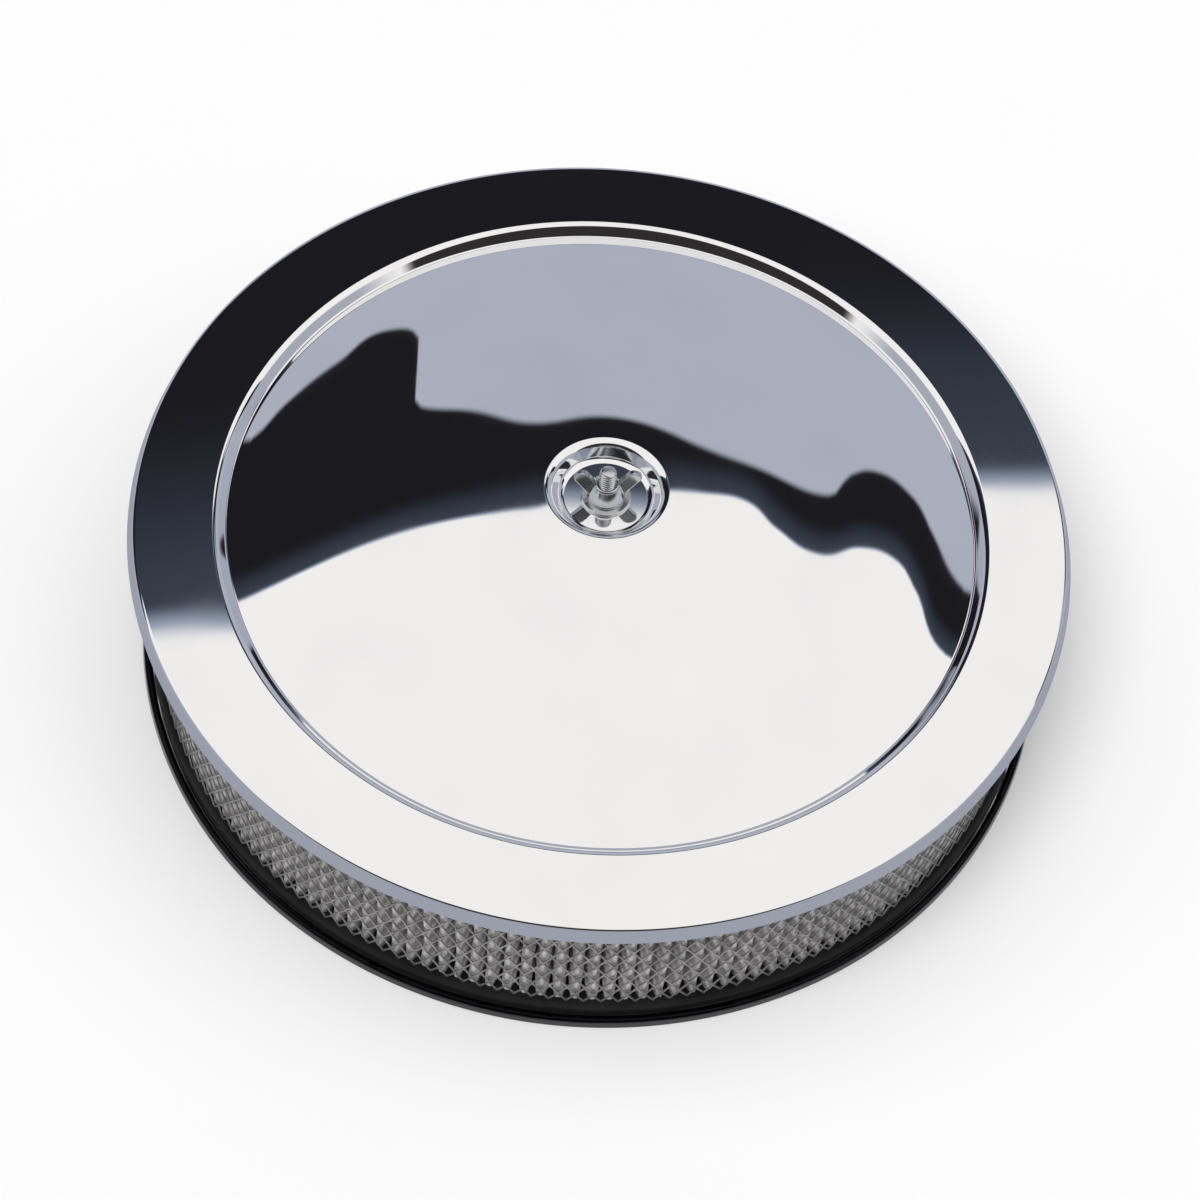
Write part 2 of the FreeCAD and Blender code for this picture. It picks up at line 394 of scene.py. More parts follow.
def make_stud():
    """The stud as rings of points up its axis, closed by a flat face at each end."""
    turns = 40
    rows = 800
    length = stud_high.z - stud_low.z
    shape = bmesh.new()
    rings = []
    for row in range(rows + 1):
        height = stud_low.z + length * row / rows
        ring = []
        for turn in range(turns):
            angle = 2 * math.pi * turn / turns
            ring.append(shape.verts.new(around_z(stud_radius_at(height, angle), angle, height)))
        rings.append(ring)
    for ring, above in zip(rings, rings[1:]):
        band(shape, ring, above)
    for ring, height in ((rings[0], stud_low.z), (rings[-1], stud_high.z)):
        middle = shape.verts.new((0, 0, height))
        for a, b in zip(ring, ring[1:] + ring[:1]):
            shape.faces.new((a, b, middle))
    bmesh.ops.recalc_face_normals(shape, faces=shape.faces)
    piece = as_piece("threaded_stud", shape)
    piece.data.shade_smooth()
    return piece


def plated_steel(name, bright, dull, roughness):
    """Plated steel: a soft metal sheen, duller in patches, with a fine grain."""
    material, tree, shader, place = new_material(name)
    patches = noise(tree, place, 160, 4)
    tree.links.new(blended(tree, spread(tree, patches, 0, 1), bright, dull), shader.inputs["Base Color"])
    tree.links.new(spread(tree, patches, roughness * 0.7, roughness * 1.4), shader.inputs["Roughness"])
    shader.inputs["Metallic"].default_value = 1.0
    bumped(tree, shader, noise(tree, place, 2500, 2), 0.01 * mm)
    return material


threaded_stud = make_stud()
stud_zinc = plated_steel("stud_zinc", (0.70, 0.71, 0.72), (0.56, 0.57, 0.58), 0.2)
dress(threaded_stud, stud_zinc, "base", "stud_zinc", "centre_stud")

# End seals: two rings of black rubber moulded on the ends of the paper and the screens.
# Their flat faces are pressed against the lid and the pan, so that no dust gets by.

seal_rubber = rubber("seal_rubber", (0.006, 0.006, 0.0065), (0.016, 0.016, 0.0165), 0.06 * mm)
seal_corner = 1.6 * mm
for seal_node in ("bottom_seal", "top_seal"):
    seal_low, seal_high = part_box(seal_node)
    seal_section = ring_section(seal_high.x - element_width, seal_high.x, seal_low.z, seal_high.z)
    seal = spun(seal_node + "_ring", softened(seal_section, seal_corner, 6), turns_round)
    dress(seal, seal_rubber, "base", "seal_rubber", seal_node)

# Screens: two cylinders of expanded metal, one outside the paper and one inside. The
# sheet is slit and drawn out into small diamonds, which leaves a wide joint wherever
# two strands cross, and its ends meet the rubber.

diamond_width = 6.32 * mm
diamond_height = 11.0 * mm
strand_width = 0.68 * mm
strand_thickness = 0.55 * mm
joint_stretch = 0.9 * mm
bevel = 0.14 * mm


def crossing(name, width, height):
    """One crossing of four half strands, flat in X and Z, with open ends that meet the next ones."""
    slant = math.atan2(height, width)
    along = Vector((math.cos(slant), math.sin(slant)))
    across = side_of(along) * (strand_width / 2)
    end = Vector((width / 4, height / 4))
    side_gap = strand_width / 2 / math.sin(slant)
    top_gap = strand_width / 2 / math.cos(slant) + joint_stretch / 2
    edge = [Vector((side_gap, 0)), end - across, end + across, Vector((0, top_gap))]
    flips = [(1, 1), (-1, 1), (-1, -1), (1, -1)]
    plan = []
    for x, z in flips:
        quarter = [Vector((p.x * x, p.y * z)) for p in edge[:3]]
        if x * z < 0:
            quarter = [Vector((0, top_gap * z)), quarter[2], quarter[1]]
        plan += quarter
    ends = []
    for index, point in enumerate(plan):
        if abs(point.x) > side_gap * 1.01 and abs(point.y) > 1e-9:
            ends.append(index)
    shape = bmesh.new()
    layers = []
    for depth, inset in ((-strand_thickness / 2, bevel), (0, 0), (strand_thickness / 2, bevel)):
        layer = []
        for index, point in enumerate(plan):
            inner = point
            if inset and index in ends:
                quarter = Vector((math.copysign(end.x, point.x), math.copysign(end.y, point.y)))
                inner = quarter + (point - quarter) * (1 - 2 * inset / strand_width)
            elif inset:
                inner = point * (1 - inset / point.length)
            layer.append(shape.verts.new((inner.x, depth, inner.y)))
        layers.append(layer)
    count = len(plan)
    gaps = [index for index in range(count) if index not in ends]
    for lower, upper in zip(layers, layers[1:]):
        for index in range(count):
            after = (index + 1) % count
            if not (index in ends and after in ends):
                shape.faces.new((lower[index], lower[after], upper[after], upper[index]))
    for layer in (layers[0], layers[2]):
        shape.faces.new([layer[index] for index in gaps])
        for start, stop in zip(gaps, gaps[1:] + gaps[:1]):
            arm = [layer[(start + step) % count] for step in range((stop - start) % count + 1)]
            shape.faces.new(arm)
    bmesh.ops.recalc_face_normals(shape, faces=shape.faces)
    return as_piece(name, shape)


def new_tree(name, inputs):
    """A geometry node tree with a mesh in, named values in and a mesh out."""
    tree = bpy.data.node_groups.new(name, "GeometryNodeTree")
    tree.interface.new_socket("Geometry", in_out="INPUT", socket_type="NodeSocketGeometry")
    for label, kind in inputs:
        tree.interface.new_socket(label, in_out="INPUT", socket_type=kind)
    tree.interface.new_socket("Geometry", in_out="OUTPUT", socket_type="NodeSocketGeometry")
    return tree, tree.nodes.new("NodeGroupInput"), tree.nodes.new("NodeGroupOutput")


def put(tree, target, source):
    """Feeds a socket from another socket, or sets it to a plain value."""
    if isinstance(source, bpy.types.NodeSocket):
        tree.links.new(source, target)
    else:
        target.default_value = source


def maths(tree, operation, *sources):
    """One step of arithmetic."""
    node = tree.nodes.new("ShaderNodeMath")
    node.operation = operation
    for target, source in zip(node.inputs, sources):
        put(tree, target, source)
    return node.outputs[0]


def step_node(tree, kind, **sources):
    """A node of a geometry tree with some of its sockets fed, by their names in lower case."""
    node = tree.nodes.new(kind)
    for label, source in sources.items():
        for target in node.inputs:
            if target.name.lower().replace(" ", "_") == label and target.enabled:
                put(tree, target, source)
                break
        else:
            raise KeyError(label)
    return node


def own_place(tree):
    """The place of each point along the three axes."""
    place = tree.nodes.new("GeometryNodeInputPosition").outputs[0]
    return step_node(tree, "ShaderNodeSeparateXYZ", vector=place).outputs


def end_tree(tree, geometry, material, result):
    """Makes every copy real, gives the whole its material and sends it out."""
    real = step_node(tree, "GeometryNodeRealizeInstances", geometry=geometry)
    dressed = step_node(tree, "GeometryNodeSetMaterial", geometry=real.outputs[0], material=material)
    tree.links.new(dressed.outputs[0], result.inputs[0])


def on_cylinder(tree, sideways, outwards, upwards, radius):
    """The place that flat coordinates take when the sheet is rolled to a cylinder."""
    angle = maths(tree, "DIVIDE", sideways, radius)
    reach = maths(tree, "ADD", radius, outwards)
    x = maths(tree, "MULTIPLY", reach, maths(tree, "COSINE", angle))
    y = maths(tree, "MULTIPLY", reach, maths(tree, "SINE", angle))
    return step_node(tree, "ShaderNodeCombineXYZ", x=x, y=y, z=upwards).outputs[0]


def expanded_metal_tree():
    """Crossings set out in staggered rows on a flat sheet, rolled to a cylinder and joined."""
    tree, source, result = new_tree(
        "expanded_metal",
        [
            ("Around", "NodeSocketInt"),
            ("Rows", "NodeSocketInt"),
            ("Radius", "NodeSocketFloat"),
            ("Foot", "NodeSocketFloat"),
            ("Row Step", "NodeSocketFloat"),
            ("Material", "NodeSocketMaterial"),
        ],
    )
    given = source.outputs
    total = maths(tree, "MULTIPLY", given["Around"], given["Rows"])
    index = tree.nodes.new("GeometryNodeInputIndex").outputs[0]
    column = maths(tree, "MODULO", index, given["Around"])
    row = maths(tree, "FLOOR", maths(tree, "DIVIDE", maths(tree, "ADD", index, 0.5), given["Around"]))
    pitch = maths(tree, "DIVIDE", maths(tree, "MULTIPLY", given["Radius"], 2 * math.pi), given["Around"])
    stagger = maths(tree, "MULTIPLY", maths(tree, "MODULO", row, 2.0), 0.5)
    sideways = maths(tree, "MULTIPLY", maths(tree, "ADD", column, stagger), pitch)
    upwards = maths(tree, "ADD", maths(tree, "MULTIPLY", row, given["Row Step"]), given["Foot"])
    place = step_node(tree, "ShaderNodeCombineXYZ", x=sideways, z=upwards).outputs[0]
    points = step_node(tree, "GeometryNodePoints", count=total, position=place).outputs[0]
    copies = step_node(tree, "GeometryNodeInstanceOnPoints", points=points, instance=given["Geometry"])
    real = step_node(tree, "GeometryNodeRealizeInstances", geometry=copies.outputs[0])
    flat = own_place(tree)
    rolled = on_cylinder(tree, flat[0], maths(tree, "MULTIPLY", flat[1], -1.0), flat[2], given["Radius"])
    wall = step_node(tree, "GeometryNodeSetPosition", geometry=real.outputs[0], position=rolled)
    joined = step_node(tree, "GeometryNodeMergeByDistance", geometry=wall.outputs[0], distance=0.02 * mm)
    end_tree(tree, joined.outputs[0], given["Material"], result)
    return tree


def settled(piece):
    """Keeps what a piece's modifiers make of it as the piece's own plain mesh."""
    ready = piece.evaluated_get(bpy.context.evaluated_depsgraph_get())
    mesh = bpy.data.meshes.new_from_object(ready)
    piece.modifiers.clear()
    piece.data = mesh


def grown(piece, tree, values):
    """Runs a geometry tree on a piece and keeps the result."""
    modifier = piece.modifiers.new("Grow", "NODES")
    modifier.node_group = tree
    for item in tree.interface.items_tree:
        if item.item_type == "SOCKET" and item.in_out == "INPUT" and item.name in values:
            modifier[item.identifier] = values[item.name]
    settled(piece)


def screen_metal_look():
    """Dull, slightly warm metal, darker in spots where dirt and oil have settled."""
    material, tree, shader, place = new_material("screen_metal")
    patches = noise(tree, place, 120, 4)
    colour = blended(tree, spread(tree, patches, 0, 1), (0.4, 0.396, 0.392), (0.27, 0.268, 0.266))
    tree.links.new(colour, shader.inputs["Base Color"])
    tree.links.new(spread(tree, patches, 0.3, 0.5), shader.inputs["Roughness"])
    shader.inputs["Metallic"].default_value = 0.85
    bumped(tree, shader, noise(tree, place, 1500, 2), 0.03 * mm)
    return material


screen_metal = screen_metal_look()
screen_tree = expanded_metal_tree()
diamonds = {}
for screen_node in ("outer_screen", "inner_screen"):
    screen_low, screen_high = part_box(screen_node)
    screen_radius = screen_high.x - strand_thickness / 2
    around = round(2 * math.pi * screen_radius / diamond_width)
    width_there = 2 * math.pi * screen_radius / around
    row_count = round((screen_high.z - screen_low.z) / (diamond_height / 2)) + 1
    row_step = (screen_high.z - screen_low.z) / (row_count - 1)
    diamonds[screen_node] = (around, row_step * 2, screen_low.z)
    screen = crossing(screen_node + "_expanded_metal", width_there, row_step * 2)
    grown(
        screen,
        screen_tree,
        {
            "Around": around,
            "Rows": row_count,
            "Radius": screen_radius,
            "Foot": screen_low.z,
            "Row Step": row_step,
            "Material": screen_metal,
        },
    )
    dress(screen, screen_metal, "base", "screen_metal", screen_node)

# Pleated paper: one long strip of resin-treated filter paper, scored, folded into
# deep pleats and closed to a ring between the two screens.

pleats = 170
pleat_points = 10
paper_rows = 14
paper_thickness = 0.5 * mm
paper_depth = 17.0 * mm
fold_sharpness = 3.2
wander_around = 9.0
wander_up = 14.0
wander_lean = 0.022
wander_seed = 3.0


def pleated_paper_tree():
    """A flat grid whose columns are moved in and out in a pleat, then rolled to a closed ring."""
    tree, source, result = new_tree(
        "pleated_paper",
        [
            ("Pleats", "NodeSocketInt"),
            ("Points", "NodeSocketInt"),
            ("Rows", "NodeSocketInt"),
            ("Tip Radius", "NodeSocketFloat"),
            ("Depth", "NodeSocketFloat"),
            ("Foot", "NodeSocketFloat"),
            ("Height", "NodeSocketFloat"),
            ("Seed", "NodeSocketFloat"),
            ("Material", "NodeSocketMaterial"),
        ],
    )
    given = source.outputs
    columns = maths(tree, "ADD", maths(tree, "MULTIPLY", given["Pleats"], given["Points"]), 1.0)
    grid = step_node(
        tree, "GeometryNodeMeshGrid", size_x=1.0, size_y=1.0, vertices_x=columns, vertices_y=given["Rows"]
    ).outputs[0]
    flat = own_place(tree)
    share = maths(tree, "ADD", flat[0], 0.5)
    phase = maths(tree, "FRACT", maths(tree, "ADD", maths(tree, "MULTIPLY", share, given["Pleats"]), 1e-4))
    fold = maths(tree, "ABSOLUTE", maths(tree, "SUBTRACT", maths(tree, "MULTIPLY", phase, 2.0), 1.0))
    round_fold = maths(tree, "POWER", maths(tree, "SUBTRACT", 1.0, fold), fold_sharpness)
    inward = maths(tree, "MULTIPLY", round_fold, given["Depth"])
    angle = maths(tree, "MULTIPLY", share, 2 * math.pi)
    reach = maths(tree, "SUBTRACT", given["Tip Radius"], inward)
    above_foot = maths(tree, "MULTIPLY", maths(tree, "ADD", flat[1], 0.5), given["Height"])
    upwards = maths(tree, "ADD", above_foot, given["Foot"])
    wander = tree.nodes.new("ShaderNodeTexNoise")
    wander.noise_dimensions = "4D"
    around_x = maths(tree, "COSINE", angle)
    around_y = maths(tree, "SINE", angle)
    spot = step_node(
        tree,
        "ShaderNodeCombineXYZ",
        x=maths(tree, "MULTIPLY", around_x, wander_around),
        y=maths(tree, "MULTIPLY", around_y, wander_around),
        z=maths(tree, "MULTIPLY", upwards, wander_up),
    ).outputs[0]
    put(tree, wander.inputs["Vector"], spot)
    put(tree, wander.inputs["W"], given["Seed"])
    lean = maths(tree, "MULTIPLY", maths(tree, "SUBTRACT", wander.outputs["Fac"], 0.5), wander_lean)
    bent_angle = maths(tree, "ADD", angle, lean)
    x = maths(tree, "MULTIPLY", reach, maths(tree, "COSINE", bent_angle))
    y = maths(tree, "MULTIPLY", reach, maths(tree, "SINE", bent_angle))
    place = step_node(tree, "ShaderNodeCombineXYZ", x=x, y=y, z=upwards).outputs[0]
    ring = step_node(tree, "GeometryNodeSetPosition", geometry=grid, position=place)
    closed = step_node(tree, "GeometryNodeMergeByDistance", geometry=ring.outputs[0], distance=0.01 * mm)
    end_tree(tree, closed.outputs[0], given["Material"], result)
    return tree


def mixed(tree, value, first, second):
    """Two colours mixed by a value."""
    node = tree.nodes.new("ShaderNodeMix")
    node.data_type = "RGBA"
    put(tree, node.inputs[0], value)
    put(tree, node.inputs[6], first)
    put(tree, node.inputs[7], second)
    return node.outputs[2]


def bulge_between(tree, place, around, height, foot):
    """From 0 behind the screen's crossings to 1 in the middle of its diamonds."""
    axes = step_node(tree, "ShaderNodeSeparateXYZ", vector=place).outputs
    angle = maths(tree, "ARCTAN2", axes[1], axes[0])
    sideways = maths(tree, "COSINE", maths(tree, "MULTIPLY", angle, around))
    risen = maths(tree, "MULTIPLY", maths(tree, "SUBTRACT", axes[2], foot), 2 * math.pi / height)
    lattice = maths(tree, "MULTIPLY", sideways, maths(tree, "COSINE", risen))
    return maths(tree, "MULTIPLY_ADD", lattice, -0.5, 0.5)


def filter_paper_look():
    """Matt off-white paper with a faint fibre, pressed out a little between the strands, and painted darker
    next to the strands as painted shade.
    """
    material, tree, shader, place = new_material("filter_paper")
    bulge = bulge_between(tree, place, *diamonds["outer_screen"])
    patches = noise(tree, place, 70, 5)
    clean = blended(tree, spread(tree, patches, 0, 1), (0.80, 0.775, 0.76), (0.6, 0.58, 0.565))
    # Painted shade: the paper is painted darker next to the strands and lighter in the middle of each
    # diamond, where it bulges.
    colour = mixed(tree, spread(tree, bulge, 0, 1), (0.42, 0.405, 0.395, 1), clean)
    tree.links.new(colour, shader.inputs["Base Color"])
    shader.inputs["Roughness"].default_value = 0.6
    bumped(tree, shader, bulge, 1.2 * mm)
    bumped(tree, shader, noise(tree, place, 2200, 3), 0.05 * mm)
    return material


paper_low, paper_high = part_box("pleated_paper")
paper_tip = paper_high.x - paper_thickness / 2
folded_paper = as_piece("folded_paper", bmesh.new())
filter_paper = filter_paper_look()
grown(
    folded_paper,
    pleated_paper_tree(),
    {
        "Pleats": pleats,
        "Points": pleat_points,
        "Rows": paper_rows,
        "Tip Radius": paper_tip,
        "Depth": paper_depth,
        "Foot": paper_low.z,
        "Height": paper_high.z - paper_low.z,
        "Seed": wander_seed,
        "Material": filter_paper,
    },
)
wall = folded_paper.modifiers.new("Wall", "SOLIDIFY")
wall.thickness = paper_thickness
wall.offset = 0
settled(folded_paper)
dress(folded_paper, filter_paper, "base", "filter_paper", "pleated_paper")

# Lid: pressed from one steel sheet and chrome plated to a mirror. A flat ring lies on
# the element, a step drops into it and keeps the lid in place, a low dome rises to the
# middle, and a stepped well takes the wing nut. Its skirt is turned down all round.

skirt_depth = 5.8 * mm
skirt_flare = 2.2 * mm
locating_clearance = 1.5 * mm
step_width = 3.5 * mm
step_depth = 4.0 * mm
stud_hole = 4.0 * mm
lid_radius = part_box("lid")[1].x
ring_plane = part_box("top_seal")[1].z + sheet
skirt_foot = ring_plane - skirt_depth
crease_radius = lid_radius - skirt_flare
step_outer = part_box("top_seal")[1].x - element_width - locating_clearance - sheet
step_inner = step_outer - step_width
step_floor = ring_plane - step_depth
dome_corner = (84.0 * mm, ring_plane + 15.6 * mm)
well_rim = (21.3 * mm, ring_plane + 18.3 * mm)
well_floor_radius = 17.3 * mm
well_floor = ring_plane + 12.2 * mm
step_bend = 2.4 * mm
step_foot = 1.0 * mm
well_bend = 3.0 * mm
dome_bend_share = 0.93


def widest_bend(before, corner, after, share):
    """The radius of a bend that takes up a share of the shorter of the two runs it joins."""
    before, corner, after = Vector(before), Vector(corner), Vector(after)
    shorter_run = min((corner - before).length, (after - corner).length)
    return share * shorter_run / math.tan(abs(turn_at(before, corner, after)) / 2)


dome_bend = widest_bend((step_inner, step_floor), dome_corner, well_rim, dome_bend_share)

lid_outline = pressed_outline(
    [
        (lid_radius, skirt_foot),
        (crease_radius, ring_plane),
        (step_outer, ring_plane),
        (step_inner, step_floor),
        dome_corner,
        well_rim,
        (well_floor_radius, well_floor),
        (stud_hole, well_floor),
    ],
    [
        (tight_bend, 8),
        (step_bend, 16),
        (step_foot, 10),
        (dome_bend, 40),
        (well_bend, 16),
        (well_bend, 16),
    ],
    sheet,
)
pressed_lid = spun("pressed_lid", lid_outline, turns_round)
lid_chrome = chrome("lid_chrome", (0.88, 0.885, 0.90), (0.84, 0.85, 0.87), 0.03, 0.25 * mm)
dress(pressed_lid, lid_chrome, "lid", "lid_chrome", "lid")

# Nut washer: a flat plated washer, swaged loosely on the foot of the nut, so that it
# stays still on the lid while the nut turns.

washer_low, washer_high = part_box("nut_washer")
washer_bore = 4.05 * mm
washer_corner = 0.3 * mm
small_turns = 96
washer_section = ring_section(washer_bore, washer_high.x, washer_low.z, washer_high.z)
flat_washer = spun("flat_washer", softened(washer_section, washer_corner), small_turns)
washer_chrome = plated_steel("washer_chrome", (0.66, 0.66, 0.67), (0.56, 0.57, 0.58), 0.14)
dress(flat_washer, washer_chrome, "nut_washer", "washer_chrome", "nut_washer")

# Wing nut: a small casting with a tapered boss and two round-tipped wings, bored for the
# stud and chrome plated. The finger and thumb turn it by its wings.

nut_seat = washer_high.z
nut_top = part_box("wing_nut")[1].z
wing_turn = math.radians(8)
wing_reach = 12.6 * mm
wing_tip = 2.9 * mm
wing_half = 1.2 * mm
boss_foot = 6.9 * mm
boss_head = 4.9 * mm
boss_height = 7.6 * mm
boss_foot_band = 1.0 * mm
boss_head_drop = 0.6 * mm
boss_head_round = 0.5 * mm
nut_bore = 3.3 * mm
spigot_radius = 3.9 * mm
spigot_foot = washer_low.z + 0.1 * mm
wing_sink = 0.7 * mm
wing_lift = 1.4 * mm
wing_root = boss_foot - 3.2 * mm
wing_taper = 0.3
casting_grain = 0.16 * mm


def touch_point(start, centre, radius, side):
    """Where the line from a start point touches a circle, on its left or right side."""
    towards = centre - start
    lean = math.asin(radius / towards.length) * side
    reach = math.sqrt(towards.length ** 2 - radius ** 2)
    heading = math.atan2(towards.y, towards.x) + lean
    return start + Vector((math.cos(heading), math.sin(heading))) * reach


def wing_plan():
    """One wing's outline in X and Z, from the boss out round the tip and back."""
    tip = Vector((wing_reach - wing_tip, nut_top - wing_tip))
    foot = Vector((boss_foot - wing_sink, nut_seat + wing_lift))
    neck = Vector((boss_head - wing_sink, nut_seat + boss_height))
    low_touch = touch_point(foot, tip, wing_tip, -1)
    high_touch = touch_point(neck, tip, wing_tip, 1)
    start = math.atan2(low_touch.y - tip.y, low_touch.x - tip.x)
    stop = math.atan2(high_touch.y - tip.y, high_touch.x - tip.x)
    points = [Vector((wing_root, foot.y)), foot]
    steps = 20
    for step in range(steps + 1):
        angle = start + (stop - start) * step / steps
        points.append(tip + Vector((math.cos(angle), math.sin(angle))) * wing_tip)
    return points + [neck, Vector((wing_root, neck.y))]


def make_wing(name, direction):
    """One wing as a plate, thicker at the boss than at its tip."""
    shape = bmesh.new()
    faces = []
    plan = wing_plan()
    for side in (-1, 1):
        layer = []
        for point in plan:
            thin = 1 - wing_taper * (point.x - boss_head) / (wing_reach - boss_head)
            layer.append(shape.verts.new((point.x * direction, side * wing_half * thin, point.y)))
        faces.append(layer)
        shape.faces.new(layer)
    for index in range(len(plan)):
        after = (index + 1) % len(plan)
        shape.faces.new((faces[0][index], faces[0][after], faces[1][after], faces[1][index]))
    bmesh.ops.recalc_face_normals(shape, faces=shape.faces)
    return as_piece(name, shape)


boss_outline = [
    Vector((nut_bore, spigot_foot)),
    Vector((spigot_radius, spigot_foot)),
    Vector((spigot_radius, nut_seat)),
    Vector((boss_foot, nut_seat)),
    Vector((boss_foot, nut_seat + boss_foot_band)),
    Vector((boss_head, nut_seat + boss_height - boss_head_drop)),
    Vector((boss_head - boss_head_round, nut_seat + boss_height)),
    Vector((nut_bore + boss_head_round, nut_seat + boss_height)),
    Vector((nut_bore, nut_seat + boss_height - boss_head_drop)),
]
cast_nut = spun("cast_wing_nut", boss_outline, small_turns)
wings = [make_wing("right_wing", 1), make_wing("left_wing", -1)]
for wing in wings:
    union = cast_nut.modifiers.new("Union", "BOOLEAN")
    union.operation = "UNION"
    union.solver = "EXACT"
    union.object = wing
casting = cast_nut.modifiers.new("Casting", "REMESH")
casting.mode = "VOXEL"
casting.voxel_size = casting_grain
soften = cast_nut.modifiers.new("Soften", "SMOOTH")
soften.factor = 0.5
soften.iterations = 12
settled(cast_nut)
cast_nut.data.transform(Matrix.Rotation(wing_turn, 4, "Z"))
cast_nut.data.shade_smooth()
for wing in wings:
    bpy.data.objects.remove(wing)
nut_chrome = chrome("nut_chrome", (0.62, 0.64, 0.67), (0.52, 0.55, 0.58), 0.15, 0.05 * mm)
dress(cast_nut, nut_chrome, "wing_nut", "nut_chrome", "wing_nut")

# Studio: a sheet of white paper for a floor, under a roof of white cloth. Behind the part
# the roof ends at a black cloth, and grey walls stand behind it and at the sides. In front
# the room is dark above a low wall. A grey sheet on the floor is there for the chrome.

white_roof = (1.0, 0.975, 0.95, 1)
pale_hem = (0.29, 0.35, 0.46, 1)
blue_hem = (0.042, 0.05, 0.072, 1)
black_cloth = (0.0125, 0.012, 0.0155, 1)
grey_wall = (0.465, 0.482, 0.562, 1)
side_wall = (0.43, 0.445, 0.51, 1)
dark_room = (0.032, 0.029, 0.03, 1)
front_wall = (0.36, 0.375, 0.42, 1)
roof_hem = [
    (-90, 3), (-39, 21.6), (-19.6, 29.5), (-8, 32.9), (-5.5, 33.65), (-3.5, 34.5), (-1.6, 36.1),
    (0, 36.2), (1.6, 36.3), (3.5, 36.8), (8, 37.4), (13, 37.6), (17, 35), (22, 33.1),
    (27, 35.7), (30, 36), (34, 32.6), (38, 26), (50, 21.6), (90, 17.8),
]
cloth_edge = [
    (-90, 24), (-50, 38.5), (-43, 42), (-38.5, 45.2), (-35, 50), (-29.4, 56), (-23.5, 60.6),
    (-20.9, 58), (-20.2, 47.2), (-14, 45.8), (-6.5, 43.5), (-1, 44.5), (2, 44.4), (8, 43),
    (14, 42.3), (22.4, 41.4), (24.5, 45.2), (28, 47.3), (31.5, 45.9), (35, 41.3),
    (39, 35.8), (50, 30), (90, 24),
]
horizon = 90


def level(tree, value, start, stop):
    """A value that goes softly from 0 to 1 between two limits."""
    node = tree.nodes.new("ShaderNodeMapRange")
    node.interpolation_type = "SMOOTHSTEP"
    put(tree, node.inputs["Value"], value)
    node.inputs["From Min"].default_value = start
    node.inputs["From Max"].default_value = stop
    return node.outputs["Result"]


def cut_edge(tree, across, points):
    """How far back an edge lies, in degrees from overhead, at each place across."""
    node = tree.nodes.new("ShaderNodeFloatCurve")
    curve = node.mapping.curves[0]
    shares = [((place + horizon) / (2 * horizon), back / horizon) for place, back in points]
    for share in shares[1:-1]:
        curve.points.new(*share)
    curve.points[0].location = shares[0]
    curve.points[-1].location = shares[-1]
    node.mapping.update()
    share_across = maths(tree, "DIVIDE", maths(tree, "ADD", across, horizon), 2 * horizon)
    tree.links.new(share_across, node.inputs["Value"])
    return maths(tree, "MULTIPLY", node.outputs[0], horizon)


def studio_light(tree):
    """The colour of the studio in each direction from the part."""
    place = tree.nodes.new("ShaderNodeTexCoord").outputs["Generated"]
    axes = step_node(tree, "ShaderNodeSeparateXYZ", vector=place).outputs
    squares = maths(tree, "ADD", maths(tree, "POWER", axes[0], 2.0), maths(tree, "POWER", axes[1], 2.0))
    level_part = maths(tree, "MAXIMUM", maths(tree, "SQRT", squares), 1e-4)
    from_top = maths(tree, "MULTIPLY", maths(tree, "ARCTAN2", level_part, axes[2]), 180 / math.pi)
    scale = maths(tree, "DIVIDE", from_top, level_part)
    across = maths(tree, "MULTIPLY", axes[0], scale)
    back = maths(tree, "MULTIPLY", axes[1], scale)
    past_roof = maths(tree, "SUBTRACT", back, cut_edge(tree, across, roof_hem))
    past_cloth = maths(tree, "SUBTRACT", back, cut_edge(tree, across, cloth_edge))
    edge = mixed(tree, level(tree, past_roof, -0.24, 0.06), white_roof, pale_hem)
    hem = mixed(tree, level(tree, past_roof, 0.0, 0.4), edge, blue_hem)
    cloth = mixed(tree, level(tree, past_roof, 0.4, 4.5), hem, black_cloth)
    wall = mixed(tree, level(tree, past_cloth, -0.6, 0.6), cloth, grey_wall)
    sideways = maths(tree, "ABSOLUTE", across)
    sides = mixed(tree, level(tree, sideways, 56.0, 66.0), wall, side_wall)
    front = mixed(tree, level(tree, from_top, 67.0, 74.0), dark_room, front_wall)
    return mixed(tree, level(tree, back, -29.0, -33.0), sides, front)


world = bpy.data.worlds.new("studio_air")
world.use_nodes = True
world.node_tree.links.new(studio_light(world.node_tree), world.node_tree.nodes["Background"].inputs["Color"])
bpy.context.scene.world = world


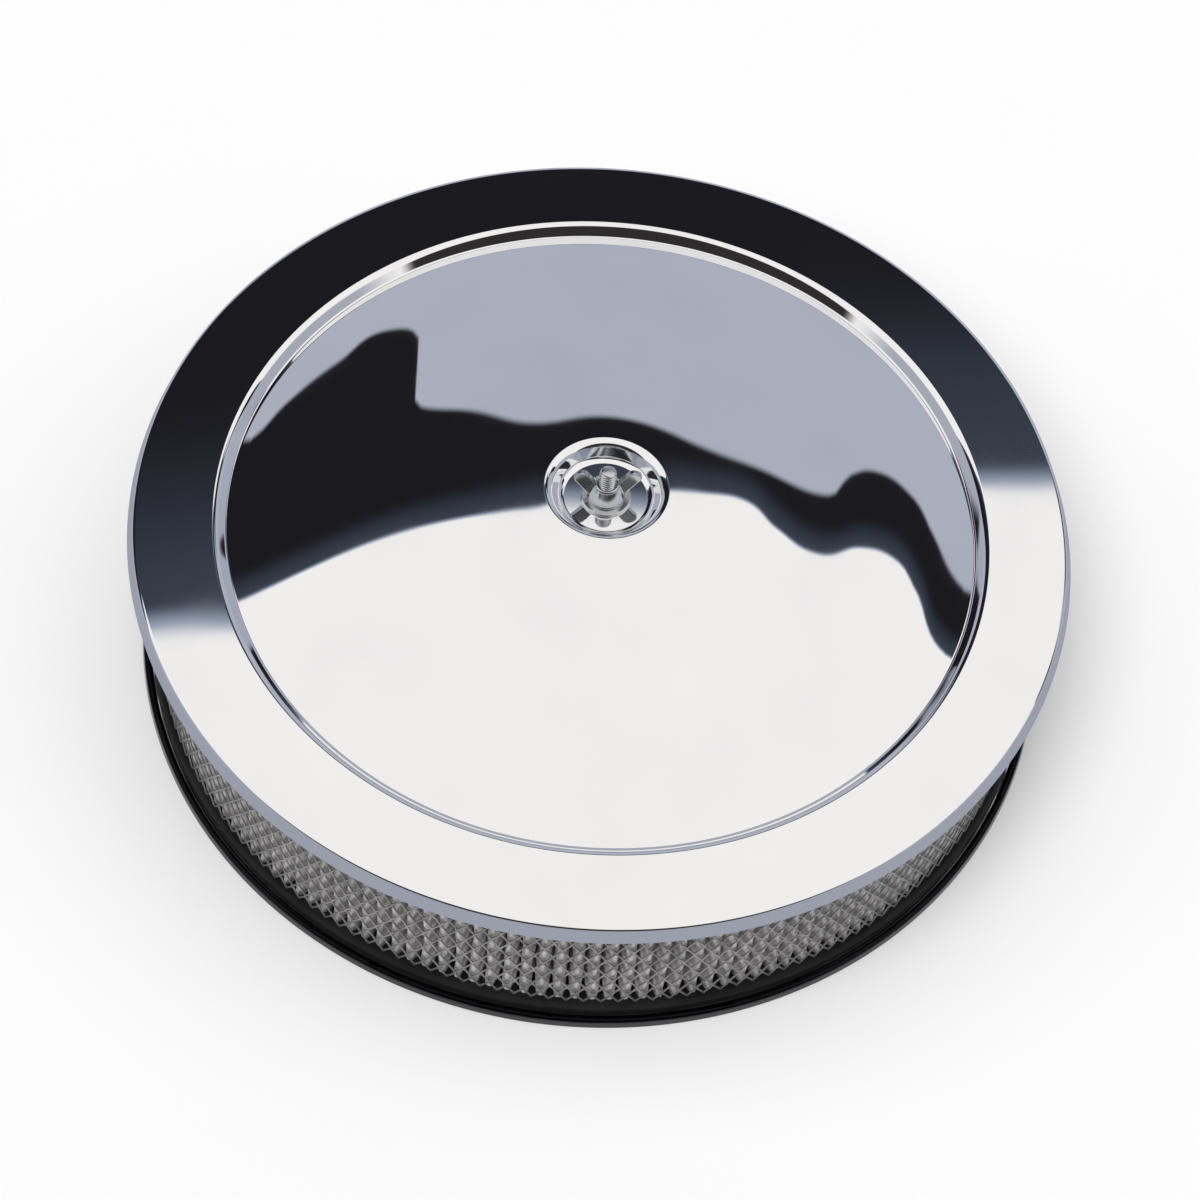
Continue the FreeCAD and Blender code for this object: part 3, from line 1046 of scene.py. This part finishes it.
def sheet_on_floor(name, inner, outer, height, colour):
    """A level disc of matt paper, or a ring of it where an inner radius is given."""
    shape = bmesh.new()
    if inner:
        angles = [2 * math.pi * turn / small_turns for turn in range(small_turns)]
        rings = []
        for radius in (outer, inner):
            rings.append([shape.verts.new(around_z(radius, angle, 0)) for angle in angles])
        band(shape, rings[0], rings[1])
    else:
        bmesh.ops.create_circle(shape, cap_ends=True, segments=small_turns, radius=outer)
    paper = as_piece(name, shape)
    paper.location.z = height
    material, _, shader, _ = new_material(name + "_paper")
    shader.inputs["Base Color"].default_value = (*colour, 1)
    shader.inputs["Roughness"].default_value = 0.9
    paper.data.materials.append(material)
    return paper


floor_reach = 30
grey_inner = 0.2
grey_outer = 29
grey_height = cad_box[0].z + 1 * mm
floor = sheet_on_floor("floor", 0, floor_reach, cad_box[0].z, (0.92, 0.92, 0.925))
# The grey sheet is hidden from the camera, from diffuse light and from shadows: it is a painted reflection
# that shows only in the chrome.
grey_sheet = sheet_on_floor("grey_sheet", grey_inner, grey_outer, grey_height, (0.34, 0.355, 0.42))
grey_sheet.visible_camera = False
grey_sheet.visible_diffuse = False
grey_sheet.visible_shadow = False

lamp_data = bpy.data.lights.new("soft_lamp", "SUN")
lamp_data.energy = 1.7
lamp_data.angle = math.radians(40)
soft_lamp = bpy.data.objects.new("soft_lamp", lamp_data)
soft_lamp.rotation_euler = (math.radians(25), math.radians(-12), 0)
soft_lamp.visible_glossy = False
bpy.context.scene.collection.objects.link(soft_lamp)

# Camera: a long lens, high in front of the part, turned a little about its own axis.

view_height = math.radians(55.5)
view_roll = math.radians(6.51)
view_distance = 1139.8 * mm
view_target = Vector((2.24 * mm, -38.17 * mm, ring_plane))
towards_camera = Vector((0, -math.cos(view_height), math.sin(view_height)))
level_up = Vector((0, math.sin(view_height), math.cos(view_height)))
camera_right = Vector((math.cos(view_roll), 0, 0)) + level_up * math.sin(view_roll)
camera_up = Vector((-math.sin(view_roll), 0, 0)) + level_up * math.cos(view_roll)
turned = Matrix((camera_right, camera_up, towards_camera)).transposed().to_4x4()
camera_data = bpy.data.cameras.new("camera")
camera_data.lens = 92.7
camera_data.sensor_width = 36
camera = bpy.data.objects.new("camera", camera_data)
camera.matrix_world = Matrix.Translation(view_target + towards_camera * view_distance) @ turned
bpy.context.scene.collection.objects.link(camera)
bpy.context.scene.camera = camera
bpy.context.scene.view_settings.view_transform = "Standard"
